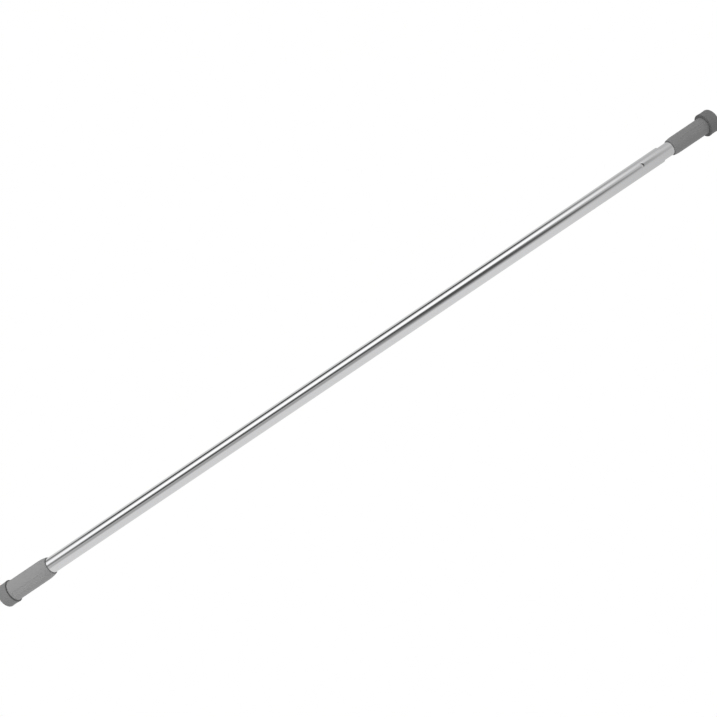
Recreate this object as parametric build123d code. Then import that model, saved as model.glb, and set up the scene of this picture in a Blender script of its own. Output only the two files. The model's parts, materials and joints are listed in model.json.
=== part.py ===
from build123d import *
import math
import os

# Window security bar: a twist-lock telescopic bar, wedged across a window frame by its rubber feet.
# Millimetres. X runs along the bar, from the fixed foot to the sliding foot, and +Z is up. The origin
# is the middle of the fixed foot's outer face. The bar is modelled closed, with its lock tight.
# Outlines are drawn in the XY plane, x along the bar and y as a radius, and turned about X.

# ---- Fits, as gaps on the radius or along the bar ----
RUNNING_FIT = 0.05
PRESS_FIT = 0.05
SNAP_FIT = 0.1
THREAD_FIT = 0.1
FACE_GAP = 0.1

# ---- Tubes ----
OUTER_TUBE_LENGTH = 1033.0
INNER_TUBE_DIAMETER = 19.0
TUBE_WALL = 0.7
TUBE_EDGE_BREAK = 0.2
CLOSED_GAP = 16.7  # outer tube's mouth to sliding sleeve's rim

# ---- Guide bush in the mouth, held by two dimples pressed into the outer tube ----
BUSH_WALL = 0.7
BUSH_LENGTH = 35.0
BUSH_SETBACK = 1.0  # behind the mouth
BUSH_SLIT = 1.2
DIMPLE_INSET = 5.0  # from the bush's inner end
DIMPLE_CLEARANCE = 0.2  # dimple's inner bump to the inner tube
DIMPLE_BALL_RADIUS = 4.0
DIMPLE_TURN = 12.0  # degrees from +Z towards +Y
DIMPLE_HOLE_GAP = 0.5

# ---- End plugs ----
PLUG_HEAD = 3.0
PLUG_SHANK = 25.0
PLUG_BORE_RADIUS = 5.5
PLUG_FLOOR = 4.0
PLUG_NOSE = 0.8

# ---- Sleeves over the tube ends ----
SLEEVE_FLOOR = 3.0
FIXED_SLEEVE_LENGTH = 69.8
FIXED_SLEEVE_WALL = 3.2
FIXED_SLEEVE_TAPER = 12.0
SLIDING_SLEEVE_LENGTH = 63.3
SLIDING_SLEEVE_WALL = 2.45
SLIDING_SLEEVE_TAPER = 9.0
SLEEVE_RIM_WALL = 1.45
SLEEVE_RIM_ROUND = 0.6
SLEEVE_SHOULDER_ROUND = 0.5

# ---- Shallow label panels sunk in the sleeves ----
PANEL_DEPTH = 0.5
PANEL_CORNER = 2.0
FIXED_PANEL_LENGTH = 49.5
FIXED_PANEL_WIDTH = 6.0
FIXED_PANEL_TURN = -16.0  # degrees from +Z towards +Y
SLIDING_PANEL_LENGTH = 37.5
SLIDING_PANEL_WIDTH = 5.0
SLIDING_PANEL_TURN = 7.0
PANEL_SETBACK = 2.9  # from the foot's front face

# ---- Rubber feet, snapped over a bead on each sleeve ----
FOOT_FLOOR = 3.0
FOOT_DEPTH = 13.5
FOOT_STEP = 2.05  # rim beyond the fixed sleeve
FOOT_WAIST = 0.5
FOOT_EDGE_INSET = 0.1
FOOT_EDGE_ROUND = 1.8
FOOT_RIM_ROUND = 0.4
FOOT_LIP = 4.1
FOOT_PARTING = 0.3
NECK_WALL = 1.95
BEAD_HEIGHT = 1.0
BEAD_EDGE = 0.8
GRIP_GROOVES = 3
GRIP_GROOVE_WIDTH = 1.2
GRIP_GROOVE_DEPTH = 0.8
GRIP_CENTRE_RADIUS = 5.0
GRIP_PITCH = 3.0

# ---- Closing stop inside the fixed end ----
BUFFER_THICKNESS = 6.0
BUFFER_RIM_GAP = 1.3
BUFFER_STEM_LENGTH = 8.0
CLOSED_STOP_GAP = 0.8

# ---- Lock: collar, wedge nut and stud ----
THREAD_RADIUS = 3.95
SHANK_STEP = 0.05  # plain shank over the thread
WEDGE_LENGTH = 12.0
WEDGE_ANGLE = 8.0
WEDGE_RIM_GAP = 1.1
WEDGE_TRAVEL = 1.9
WEDGE_END_GAP = 0.9
WEDGE_LEAD = 7.0  # how far the wedge stands out of the collar
KEY_WIDTH = 2.0
KEY_SIDE_GAP = 0.2
KEY_TOP_GAP = 0.4
FINGER_LENGTH = 14.0
FINGER_BORE_LAND = 1.0
COLLAR_BASE = 6.0
DRAG_RING_WIRE = 2.1
DRAG_RING_SINK = 0.1
DRAG_GROOVE_WIDTH = 2.5
DRAG_GROOVE_INSET = 1.75
CLIP_THICKNESS = 1.0
CLIP_WIDTH = 1.8
CLIP_GROOVE_DEPTH = 0.8
CLIP_OPENING = 4.4
CLIP_GAP = 0.05
STUD_NOSE = 0.4
WASHER_THICKNESS = 1.0
WASHER_RIM_GAP = 1.1
FLANGE_THICKNESS = 2.0
FLANGE_RIM_GAP = 1.5
SQUARE_SIZE = 7.0
SQUARE_GAP = 0.1

# ---- Spring between the stud's flange and the drive plug ----
SPRING_SPACE = 39.9
SPRING_WIRE = 1.8
SPRING_TURNS = 9
SPRING_END_GAP = 0.2

# ---- Drive plug, its rivets and the rear guide ring ----
DRIVE_HEAD = 3.0
DRIVE_HEAD_GAP = 0.4
DRIVE_SHANK = 15.0
RIVET_RADIUS = 1.5
RIVET_GAP = 0.05
RIVET_PLACE = 6.0  # from the inner tube's end
RIVET_FLOOR = 1.15  # plug wall left between a rivet and the square hole
RIVET_SINK = 0.15
RING_SETBACK = 1.0
RING_LENGTH = 10.0
RING_RIM_GAP = 0.1
OPEN_STOP_GAP = 2.0

# ---- Stop washer and nut behind the drive plug ----
STOP_WASHER_THICKNESS = 1.6
STOP_WASHER_RIM_GAP = 0.8
STOP_THREAD_RADIUS = 2.9
STOP_NUT_HEIGHT = 5.0
STOP_NUT_FLATS = 10.0
STUD_TAIL = 1.5

# ---- Radii that follow ----
inner_radius = INNER_TUBE_DIAMETER / 2
inner_bore = inner_radius - TUBE_WALL
outer_bore = inner_radius + RUNNING_FIT + BUSH_WALL + PRESS_FIT
outer_radius = outer_bore + TUBE_WALL
fixed_sleeve_radius = outer_radius + PRESS_FIT + FIXED_SLEEVE_WALL
sliding_sleeve_radius = inner_radius + PRESS_FIT + SLIDING_SLEEVE_WALL
foot_radius = fixed_sleeve_radius + FOOT_STEP
dimple_depth = outer_bore - inner_radius - DIMPLE_CLEARANCE
shank_radius = THREAD_RADIUS + SHANK_STEP
square_corner = SQUARE_SIZE / math.sqrt(2)
spring_radius = (outer_bore + square_corner) / 2
rivet_bottom = SQUARE_SIZE / 2 + SQUARE_GAP + RIVET_FLOOR
wedge_radius = outer_bore - WEDGE_RIM_GAP
wedge_slope = math.tan(math.radians(WEDGE_ANGLE))

# ---- Places along the bar that follow ----
tube_start = FOOT_FLOOR + SLEEVE_FLOOR + PLUG_HEAD
tube_mouth = tube_start + OUTER_TUBE_LENGTH
closed_length = tube_mouth + CLOSED_GAP + SLIDING_SLEEVE_LENGTH + FOOT_FLOOR
bush_end = tube_mouth - BUSH_SETBACK
bush_start = bush_end - BUSH_LENGTH
buffer_start = tube_start + PLUG_SHANK
stud_front = buffer_start + BUFFER_THICKNESS + CLOSED_STOP_GAP
clip_start = stud_front + STUD_NOSE
wedge_start = clip_start + CLIP_THICKNESS + WEDGE_TRAVEL + WEDGE_END_GAP
wedge_end = wedge_start + WEDGE_LENGTH
collar_start = wedge_start + WEDGE_LEAD
finger_root = collar_start + FINGER_LENGTH
collar_end = finger_root + COLLAR_BASE
washer_start = collar_end + FACE_GAP
flange_start = washer_start + WASHER_THICKNESS
flange_end = flange_start + FLANGE_THICKNESS
drive_start = flange_end + SPRING_SPACE
inner_start = drive_start + DRIVE_HEAD
inner_end = closed_length - FOOT_FLOOR - SLEEVE_FLOOR - PLUG_HEAD
drive_end = inner_start + DRIVE_SHANK
ring_start = inner_start + RING_SETBACK
ring_end = ring_start + RING_LENGTH
stop_washer_start = drive_end + FACE_GAP
stop_nut_start = stop_washer_start + STOP_WASHER_THICKNESS
stud_end = stop_nut_start + STOP_NUT_HEIGHT + STUD_TAIL
open_travel = bush_start - ring_end - OPEN_STOP_GAP


def turned(face):
    """A solid of revolution about the bar's axis."""
    return revolve(face, axis=Axis.X)


def turned_steps(*corners):
    """A solid turned about the bar's axis from (x, radius) corners."""
    return turned(make_face(Polyline(*corners, close=True)))


def ring(start, end, bore, radius):
    """A plain ring about the bar's axis."""
    return turned_steps((start, bore), (end, bore), (end, radius), (start, radius))


def rounded(face, corners, radius):
    """The outline with the corners nearest the given points rounded."""
    picked = [face.vertices().sort_by_distance((x, y, 0))[0] for x, y in corners]
    return fillet(picked, radius)


def turn_about_bar(shape, degrees):
    """The shape turned about the bar's axis, from +Z towards +Y."""
    return Rot(-degrees, 0, 0) * shape


def bar_block(start, end, width, height, middle=0):
    """A block along the bar, centred on y and with its middle at a height above the axis."""
    return Pos((start + end) / 2, 0, middle) * Box(end - start, width, height)


def flipped(shape):
    """The shape turned end for end, from the fixed end to the sliding end."""
    return mirror(shape, about=Plane.YZ.offset(closed_length / 2))


def tube(start, end, bore, radius):
    """A drawn tube with its four edges broken."""
    b = TUBE_EDGE_BREAK
    outline = make_face(
        Polyline(
            (start, bore + b),
            (start + b, bore),
            (end - b, bore),
            (end, bore + b),
            (end, radius - b),
            (end - b, radius),
            (start + b, radius),
            (start, radius - b),
            close=True,
        )
    )
    return turned(outline)


def dimple_ball(radius, turn):
    """The ball that presses one dimple, or its larger twin inside the wall."""
    centre = outer_radius - dimple_depth + DIMPLE_BALL_RADIUS
    ball = Pos(bush_start + DIMPLE_INSET, 0, centre) * Sphere(radius)
    return turn_about_bar(ball, turn)


def outer_tube():
    """The thick tube, dimpled near its mouth on both sides."""
    body = tube(tube_start, tube_mouth, outer_bore, outer_radius)
    core = Pos(bush_start + DIMPLE_INSET, 0, 0) * Rot(0, 90, 0) * Cylinder(
        outer_bore + TUBE_WALL / 4, 4 * DIMPLE_BALL_RADIUS
    )
    for turn in (DIMPLE_TURN, DIMPLE_TURN + 180):
        body += dimple_ball(DIMPLE_BALL_RADIUS + TUBE_WALL, turn) & core
        body -= dimple_ball(DIMPLE_BALL_RADIUS, turn)
    return body


def guide_bush():
    """Split nylon liner in the mouth, with a hole for each dimple."""
    body = ring(bush_start, bush_end, inner_radius + RUNNING_FIT, outer_bore - PRESS_FIT)
    for turn in (DIMPLE_TURN, DIMPLE_TURN + 180):
        body -= dimple_ball(DIMPLE_BALL_RADIUS + TUBE_WALL + DIMPLE_HOLE_GAP, turn)
    slit = bar_block(bush_start - 1, bush_end + 1, BUSH_SLIT, 2 * outer_bore, outer_bore)
    return body - turn_about_bar(slit, DIMPLE_TURN + 90)


def end_plug(tube_bore, tube_radius):
    """Headed plug that closes a tube at the fixed end, hollow from inside."""
    head = FOOT_FLOOR + SLEEVE_FLOOR
    tip = tube_start + PLUG_SHANK
    shank = tube_bore - PRESS_FIT
    floor = head + PLUG_FLOOR
    return turned_steps(
        (head, 0),
        (floor, 0),
        (floor, PLUG_BORE_RADIUS),
        (tip, PLUG_BORE_RADIUS),
        (tip, shank - PLUG_NOSE),
        (tip - PLUG_NOSE, shank),
        (tube_start, shank),
        (tube_start, tube_radius),
        (head, tube_radius),
    )


def stop_buffer():
    """Rubber buffer plugged into the fixed end plug, where the closing lock comes to rest."""
    stem = PLUG_BORE_RADIUS - PRESS_FIT
    face = buffer_start + BUFFER_THICKNESS
    return turned_steps(
        (buffer_start - BUFFER_STEM_LENGTH, 0),
        (face, 0),
        (face, outer_bore - BUFFER_RIM_GAP),
        (buffer_start, outer_bore - BUFFER_RIM_GAP),
        (buffer_start, stem),
        (buffer_start - BUFFER_STEM_LENGTH, stem),
    )


def neck_radius(tube_radius):
    """Radius of a sleeve's neck, inside its foot's lip."""
    return tube_radius + PRESS_FIT + NECK_WALL


def sleeve(tube_radius, radius, length, taper):
    """Moulded sleeve at the fixed end: closed floor, bead and neck for the foot, tapered rim."""
    start = FOOT_FLOOR
    rim = start + length
    bore = tube_radius + PRESS_FIT
    rim_radius = bore + SLEEVE_RIM_WALL
    neck = neck_radius(tube_radius)
    bead = neck + BEAD_HEIGHT
    bead_end = FOOT_DEPTH - FOOT_LIP - SNAP_FIT
    shoulder = FOOT_DEPTH + FOOT_PARTING
    edges = Polyline(
        (rim, rim_radius),
        (rim, bore),
        (start + SLEEVE_FLOOR, bore),
        (start + SLEEVE_FLOOR, 0),
        (start, 0),
        (start, bead - BEAD_EDGE),
        (start + BEAD_EDGE, bead),
        (bead_end - BEAD_EDGE, bead),
        (bead_end, neck),
        (shoulder, neck),
        (shoulder, radius),
        (rim - taper, radius),
    )
    crown = TangentArc((rim - taper, radius), (rim, rim_radius), tangent=(1, 0))
    face = make_face(edges + crown)
    face = rounded(face, [(rim, rim_radius)], SLEEVE_RIM_ROUND)
    face = rounded(face, [(shoulder, radius)], SLEEVE_SHOULDER_ROUND)
    return turned(face)


def panel_cutter(radius, length, width, turn):
    """What sinks a round-cornered panel to an even depth into a sleeve at the fixed end."""
    middle = FOOT_DEPTH + PANEL_SETBACK + length / 2
    block = Pos(middle, 0, 0) * extrude(RectangleRounded(length, width, PANEL_CORNER), 2 * radius)
    shell = ring(middle - length, middle + length, radius - PANEL_DEPTH, 2 * radius)
    return turn_about_bar(block & shell, turn)


def fixed_sleeve():
    """The larger sleeve, on the outer tube."""
    body = sleeve(outer_radius, fixed_sleeve_radius, FIXED_SLEEVE_LENGTH, FIXED_SLEEVE_TAPER)
    return body - panel_cutter(
        fixed_sleeve_radius, FIXED_PANEL_LENGTH, FIXED_PANEL_WIDTH, FIXED_PANEL_TURN
    )


def sliding_sleeve():
    """The smaller sleeve, on the inner tube, which the hand twists to lock the bar."""
    body = sleeve(
        inner_radius, sliding_sleeve_radius, SLIDING_SLEEVE_LENGTH, SLIDING_SLEEVE_TAPER
    )
    body -= panel_cutter(
        sliding_sleeve_radius, SLIDING_PANEL_LENGTH, SLIDING_PANEL_WIDTH, SLIDING_PANEL_TURN
    )
    return flipped(body)


def foot(tube_radius):
    """Rubber foot at the fixed end: waisted outside, grooved face, lip behind the sleeve's bead."""
    lip_bore = neck_radius(tube_radius) + SNAP_FIT
    bead_bore = lip_bore + BEAD_HEIGHT
    lip_start = FOOT_DEPTH - FOOT_LIP
    edge_radius = foot_radius - FOOT_EDGE_INSET
    waist_radius = foot_radius - FOOT_WAIST
    inside = Polyline(
        (0, edge_radius),
        (0, 0),
        (FOOT_FLOOR, 0),
        (FOOT_FLOOR, bead_bore),
        (lip_start - BEAD_EDGE, bead_bore),
        (lip_start, lip_bore),
        (FOOT_DEPTH, lip_bore),
        (FOOT_DEPTH, foot_radius),
    )
    waist = ThreePointArc(
        (FOOT_DEPTH, foot_radius), (FOOT_DEPTH / 2, waist_radius), (0, edge_radius)
    )
    face = make_face(inside + waist)
    face = rounded(face, [(0, edge_radius)], FOOT_EDGE_ROUND)
    face = rounded(face, [(FOOT_DEPTH, foot_radius)], FOOT_RIM_ROUND)
    body = turned(face)
    for number in range(GRIP_GROOVES):
        inner = GRIP_CENTRE_RADIUS + number * GRIP_PITCH
        body -= ring(-1, GRIP_GROOVE_DEPTH, inner, inner + GRIP_GROOVE_WIDTH)
    return body


def wedge_radius_at(x):
    """Radius of the wedge's cone at a place along the bar."""
    return wedge_radius - (x - wedge_start) * wedge_slope


def expander_collar():
    """Nylon collar: four fingers that the wedge spreads against the outer tube's bore."""
    land = wedge_end + FINGER_BORE_LAND
    radius = outer_bore - RUNNING_FIT
    groove_start = collar_end - DRAG_GROOVE_INSET - DRAG_GROOVE_WIDTH
    groove_floor = outer_bore - DRAG_RING_SINK - DRAG_RING_WIRE - RUNNING_FIT
    body = turned_steps(
        (collar_start, wedge_radius_at(collar_start) + RUNNING_FIT),
        (land, wedge_radius_at(land) + RUNNING_FIT),
        (finger_root, wedge_radius_at(land) + RUNNING_FIT),
        (finger_root, shank_radius + RUNNING_FIT),
        (collar_end, shank_radius + RUNNING_FIT),
        (collar_end, radius),
        (collar_start, radius),
    )
    body -= ring(groove_start, groove_start + DRAG_GROOVE_WIDTH, groove_floor, 2 * radius)
    slot = bar_block(collar_start - 1, finger_root, KEY_WIDTH + 2 * KEY_SIDE_GAP, 3 * radius)
    return body - slot - turn_about_bar(slot, 90)


def drag_ring():
    """Rubber ring that keeps the collar from turning with the stud."""
    groove_middle = collar_end - DRAG_GROOVE_INSET - DRAG_GROOVE_WIDTH / 2
    wire = DRAG_RING_WIRE / 2
    section = Pos(groove_middle, outer_bore - DRAG_RING_SINK - wire) * Circle(wire)
    return turned(section)


def wedge_nut():
    """Threaded cone with two keys that ride in the collar's slots."""
    bore = THREAD_RADIUS + THREAD_FIT
    body = turned_steps(
        (wedge_start, bore),
        (wedge_end, bore),
        (wedge_end, wedge_radius_at(wedge_end)),
        (wedge_start, wedge_radius),
    )
    key_top = outer_bore - KEY_TOP_GAP
    keys = bar_block(wedge_start, wedge_end, KEY_WIDTH, 2 * key_top)
    keys -= ring(wedge_start - 1, wedge_end + 1, 0, bore + 1)
    return body + (keys & ring(wedge_start, wedge_end, 0, key_top))


def lock_stud():
    """Stud: threaded nose for the wedge, plain shank in the collar, flange, square and threaded tail."""
    groove = THREAD_RADIUS - CLIP_GROOVE_DEPTH
    groove_start = clip_start - CLIP_GAP
    groove_end = clip_start + CLIP_THICKNESS + CLIP_GAP
    front = turned_steps(
        (stud_front, 0),
        (stud_front, THREAD_RADIUS),
        (groove_start, THREAD_RADIUS),
        (groove_start, groove),
        (groove_end, groove),
        (groove_end, THREAD_RADIUS),
        (finger_root - 1, THREAD_RADIUS),
        (finger_root - 1, shank_radius),
        (flange_start, shank_radius),
        (flange_start, outer_bore - FLANGE_RIM_GAP),
        (flange_end, outer_bore - FLANGE_RIM_GAP),
        (flange_end, 0),
    )
    square = bar_block(flange_end, drive_end, SQUARE_SIZE, SQUARE_SIZE)
    tail = ring(drive_end, stud_end, 0, STOP_THREAD_RADIUS)
    return front + square + tail


def stud_end_clip():
    """Spring clip in the stud's nose groove, which stops the wedge nut running off."""
    seat = THREAD_RADIUS - CLIP_GROOVE_DEPTH + CLIP_GAP
    body = ring(clip_start, clip_start + CLIP_THICKNESS, seat, THREAD_RADIUS + CLIP_WIDTH)
    reach = THREAD_RADIUS + CLIP_WIDTH
    return body - bar_block(clip_start - 1, wedge_start, CLIP_OPENING, reach, reach / 2)


def thrust_washer():
    """Washer between the collar and the stud's flange."""
    bore = shank_radius + RUNNING_FIT
    return ring(washer_start, flange_start, bore, outer_bore - WASHER_RIM_GAP)


def compression_spring():
    """Coil spring on the stud's square, which presses the feet apart."""
    wire = SPRING_WIRE / 2
    start = flange_end + SPRING_END_GAP + wire
    height = SPRING_SPACE - 2 * (SPRING_END_GAP + wire)
    path = Helix(height / SPRING_TURNS, height, spring_radius, direction=(0, 0, 1))
    coil = sweep((path ^ 0) * Circle(wire), path=path, is_frenet=True)
    return Pos(start, 0, 0) * Rot(0, 90, 0) * coil


def drive_plug():
    """Plug in the inner tube's hidden end, with the square hole that turns the stud."""
    head = outer_bore - DRIVE_HEAD_GAP
    shank = inner_bore - PRESS_FIT
    body = turned_steps(
        (drive_start, 0),
        (drive_end, 0),
        (drive_end, shank),
        (inner_start, shank),
        (inner_start, head),
        (drive_start, head),
    )
    hole = SQUARE_SIZE + 2 * SQUARE_GAP
    body -= bar_block(drive_start - 1, drive_end + 1, hole, hole)
    for side in (1, -1):
        body -= rivet(side, RIVET_RADIUS + RIVET_GAP, rivet_bottom - RIVET_GAP, head)
    return body


def rivet(side, radius, bottom, top):
    """One radial rivet, or the hole for it, on the +Y or -Y side."""
    body = Pos(inner_start + RIVET_PLACE, 0, (bottom + top) / 2) * Cylinder(radius, top - bottom)
    return turn_about_bar(body, 90 * side)


def plug_rivets():
    """The two rivets through the rear guide ring, the inner tube and the drive plug."""
    top = outer_bore - RING_RIM_GAP - RIVET_SINK
    return Compound([rivet(side, RIVET_RADIUS, rivet_bottom, top) for side in (1, -1)])


def inner_tube():
    """The thin tube, with two rivet holes near its hidden end."""
    body = tube(inner_start, inner_end, inner_bore, inner_radius)
    for side in (1, -1):
        body -= rivet(side, RIVET_RADIUS + RIVET_GAP, inner_bore - 1, inner_radius + 1)
    return body


def rear_guide_ring():
    """Split nylon ring on the inner tube, which meets the guide bush when the bar is full out."""
    body = ring(ring_start, ring_end, inner_radius + PRESS_FIT, outer_bore - RING_RIM_GAP)
    for side in (1, -1):
        body -= rivet(side, RIVET_RADIUS + RIVET_GAP, inner_radius - 1, outer_bore)
    return body - bar_block(ring_start - 1, ring_end + 1, BUSH_SLIT, 2 * outer_bore, outer_bore)


def stop_washer():
    """Washer that the spring holds the drive plug against."""
    bore = STOP_THREAD_RADIUS + THREAD_FIT
    return ring(stop_washer_start, stop_nut_start, bore, inner_bore - STOP_WASHER_RIM_GAP)


def stop_nut():
    """Hexagon nut on the stud's tail."""
    side_radius = STOP_NUT_FLATS / math.sqrt(3)
    blank = extrude(RegularPolygon(side_radius, 6), STOP_NUT_HEIGHT)
    nut = blank - extrude(Circle(STOP_THREAD_RADIUS + THREAD_FIT), STOP_NUT_HEIGHT)
    return Pos(stop_nut_start, 0, 0) * Rot(0, 90, 0) * nut


NODES = {
    "outer_tube": outer_tube,
    "guide_bush": guide_bush,
    "fixed_end_plug": lambda: end_plug(outer_bore, outer_radius),
    "fixed_sleeve": fixed_sleeve,
    "fixed_foot": lambda: foot(outer_radius),
    "stop_buffer": stop_buffer,
    "expander_collar": expander_collar,
    "drag_ring": drag_ring,
    "wedge_nut": wedge_nut,
    "lock_stud": lock_stud,
    "stud_end_clip": stud_end_clip,
    "thrust_washer": thrust_washer,
    "compression_spring": compression_spring,
    "stop_washer": stop_washer,
    "stop_nut": stop_nut,
    "inner_tube": inner_tube,
    "drive_plug": drive_plug,
    "plug_rivets": plug_rivets,
    "rear_guide_ring": rear_guide_ring,
    "sliding_end_plug": lambda: flipped(end_plug(inner_bore, inner_radius)),
    "sliding_sleeve": sliding_sleeve,
    "sliding_foot": lambda: flipped(foot(inner_radius)),
}

os.makedirs("parts", exist_ok=True)
for name, build in NODES.items():
    export_step(build(), f"parts/{name}.step")
print(f"closed length {closed_length:.1f} mm, telescope travel {open_travel:.1f} mm")
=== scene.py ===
"""Looks of a twist-lock telescopic window security bar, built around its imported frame.

Metres, in the frame's own axes: X runs along the bar from the fixed foot to the sliding foot, +Z is
up, and the origin is the middle of the fixed foot's outer face. Every piece keeps its place in its
mesh, and its object stays at the origin.

A piece takes the frame's own material for its slot where the frame has loaded one. The finishes below
are drawn only for slots that it has not.
"""

import json
import logging
import math
from collections.abc import Callable, Iterable, Sequence
from dataclasses import dataclass, field
from enum import Enum

import bmesh
import bpy
from mathutils import Matrix, Vector


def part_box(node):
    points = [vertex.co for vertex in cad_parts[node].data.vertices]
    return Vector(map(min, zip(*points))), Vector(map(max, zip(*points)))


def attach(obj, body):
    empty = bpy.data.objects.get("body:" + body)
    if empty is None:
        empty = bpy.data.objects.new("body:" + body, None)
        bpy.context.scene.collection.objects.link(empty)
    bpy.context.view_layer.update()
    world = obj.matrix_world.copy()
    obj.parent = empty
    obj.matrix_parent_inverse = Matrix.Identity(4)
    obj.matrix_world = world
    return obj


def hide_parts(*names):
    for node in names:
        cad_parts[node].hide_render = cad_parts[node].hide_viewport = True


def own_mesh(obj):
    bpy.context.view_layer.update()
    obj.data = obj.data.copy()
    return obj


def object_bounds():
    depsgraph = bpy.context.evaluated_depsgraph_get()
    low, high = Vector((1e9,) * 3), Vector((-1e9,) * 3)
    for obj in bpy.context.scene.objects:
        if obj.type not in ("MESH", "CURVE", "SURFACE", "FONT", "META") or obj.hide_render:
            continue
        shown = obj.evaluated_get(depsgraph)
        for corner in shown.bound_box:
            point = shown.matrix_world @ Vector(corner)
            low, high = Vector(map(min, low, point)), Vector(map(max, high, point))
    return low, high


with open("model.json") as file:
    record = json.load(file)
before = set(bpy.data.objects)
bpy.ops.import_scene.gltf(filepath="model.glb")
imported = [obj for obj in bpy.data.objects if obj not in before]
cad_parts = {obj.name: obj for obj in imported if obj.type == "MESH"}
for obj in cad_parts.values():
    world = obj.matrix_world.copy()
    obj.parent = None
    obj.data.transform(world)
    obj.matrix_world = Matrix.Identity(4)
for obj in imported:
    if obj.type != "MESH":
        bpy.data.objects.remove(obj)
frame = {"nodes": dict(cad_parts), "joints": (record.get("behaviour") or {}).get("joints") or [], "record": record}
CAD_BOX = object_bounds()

LOG = logging.getLogger("security_bar")
MM = 0.001
AXIS = Vector((1.0, 0.0, 0.0))
MERGE = 1e-7
# Name of the mesh attribute that sets how much painted shade darkens a sunk panel's floor.
PANEL_PAINTED_SHADE = "panel"
CRIMP_INSET = 5.0 * MM  # from the guide bush's inner end
CRIMP_TURNS = (12.0, -168.0)  # degrees from +Z towards +Y


class Slot(Enum):
    """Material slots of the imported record."""

    CHROME = "chrome_tube"
    SLEEVE = "grey_sleeve"
    FOOT = "grey_foot"
    NATURAL_NYLON = "natural_nylon"
    BLACK_NYLON = "black_nylon"
    BLACK_RUBBER = "black_rubber"
    ZINC_STEEL = "zinc_steel"
    SPRING_STEEL = "spring_steel"


class Body(Enum):
    """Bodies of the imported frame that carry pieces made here."""

    OUTER = "outer"
    STUD = "lock_stud"
    INNER = "inner_tube"


class End(Enum):
    """Which end of the bar a moulding sits on; the value is the way its outer face looks along X."""

    FIXED = -1
    SLIDING = 1


def smooth(t: float) -> float:
    """Smooth step from 0 at t = 0 to 1 at t = 1."""
    t = min(max(t, 0.0), 1.0)
    return t * t * (3.0 - 2.0 * t)


# ---------------------------------------------------------------- node trees


class NodeSheet:
    """A shader node tree that is being drawn up."""

    def __init__(self, tree: bpy.types.NodeTree) -> None:
        """Starts from an emptied tree.

        Args:
            tree: The tree to fill in.
        """
        self.tree = tree
        tree.nodes.clear()

    def add(self, kind: str, **settings: object) -> bpy.types.Node:
        """Adds one node.

        Args:
            kind: The node's type name.
            **settings: Attributes of the node, or its inputs' values where a key names an input.

        Returns:
            The new node.
        """
        node = self.tree.nodes.new(kind)
        for key, value in settings.items():
            if hasattr(node, key):
                setattr(node, key, value)
            else:
                node.inputs[key.replace("_", " ")].default_value = value
        return node

    def link(self, source: bpy.types.NodeSocket, target: bpy.types.NodeSocket) -> None:
        """Joins an output to an input."""
        self.tree.links.new(source, target)

    def math(self, operation: str, *terms: object, clamp: bool = False) -> bpy.types.NodeSocket:
        """Adds a Math node.

        Args:
            operation: The Math node's operation.
            *terms: Numbers or output sockets, one for each input in turn.
            clamp: Whether the result is held between 0 and 1.

        Returns:
            The result's socket.
        """
        node = self.add("ShaderNodeMath", operation=operation, use_clamp=clamp)
        for socket, term in zip(node.inputs, terms):
            if isinstance(term, bpy.types.NodeSocket):
                self.link(term, socket)
            else:
                socket.default_value = term
        return node.outputs[0]

    def blend(self, amount: object, first: object, second: object) -> bpy.types.NodeSocket:
        """Mixes two colours.

        Args:
            amount: A number or a socket, 0 for the first colour and 1 for the second.
            first: A colour or a socket.
            second: A colour or a socket.

        Returns:
            The mixed colour's socket.
        """
        node = self.add("ShaderNodeMix", data_type="RGBA")
        for socket, term in zip((node.inputs[0], node.inputs[6], node.inputs[7]), (amount, first, second)):
            if isinstance(term, bpy.types.NodeSocket):
                self.link(term, socket)
            else:
                socket.default_value = term
        return node.outputs[2]


@dataclass(frozen=True)
class Effect:
    """A shader node group that several finishes share.

    Attributes:
        name: The group's name.
        inputs: Input names with their default values.
        outputs: Output names, all plain values.
        draw: Fills the group in, given its sheet, its input node and its output node.
    """

    name: str
    inputs: dict[str, float]
    outputs: tuple[str, ...]
    draw: Callable[[NodeSheet, bpy.types.Node, bpy.types.Node], None]

    def group(self) -> bpy.types.NodeTree:
        """Returns the node group, made the first time it is asked for."""
        made = bpy.data.node_groups.get(self.name)
        if made is not None:
            return made
        tree = bpy.data.node_groups.new(self.name, "ShaderNodeTree")
        sheet = NodeSheet(tree)
        for name, value in self.inputs.items():
            socket = tree.interface.new_socket(name, in_out="INPUT", socket_type="NodeSocketFloat")
            socket.default_value = value
        for name in self.outputs:
            tree.interface.new_socket(name, in_out="OUTPUT", socket_type="NodeSocketFloat")
        self.draw(sheet, sheet.add("NodeGroupInput"), sheet.add("NodeGroupOutput"))
        return tree

    def place(self, sheet: NodeSheet, **values: float) -> bpy.types.Node:
        """Puts the effect in a material.

        Args:
            sheet: The material's sheet.
            **values: The group's inputs, by name.

        Returns:
            The group node.
        """
        node = sheet.add("ShaderNodeGroup", node_tree=self.group())
        for name, value in values.items():
            node.inputs[name].default_value = value
        return node


def bar_coordinates(sheet: NodeSheet, stretch: float) -> bpy.types.NodeSocket:
    """Object coordinates, drawn out along the bar.

    Args:
        sheet: The sheet to draw on.
        stretch: How many times longer a pattern is along X than across.

    Returns:
        The vector's socket.
    """
    where = sheet.add("ShaderNodeTexCoord")
    mapping = sheet.add("ShaderNodeMapping")
    mapping.inputs["Scale"].default_value = (1.0 / stretch, 1.0, 1.0)
    sheet.link(where.outputs["Object"], mapping.inputs["Vector"])
    return mapping.outputs["Vector"]


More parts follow.
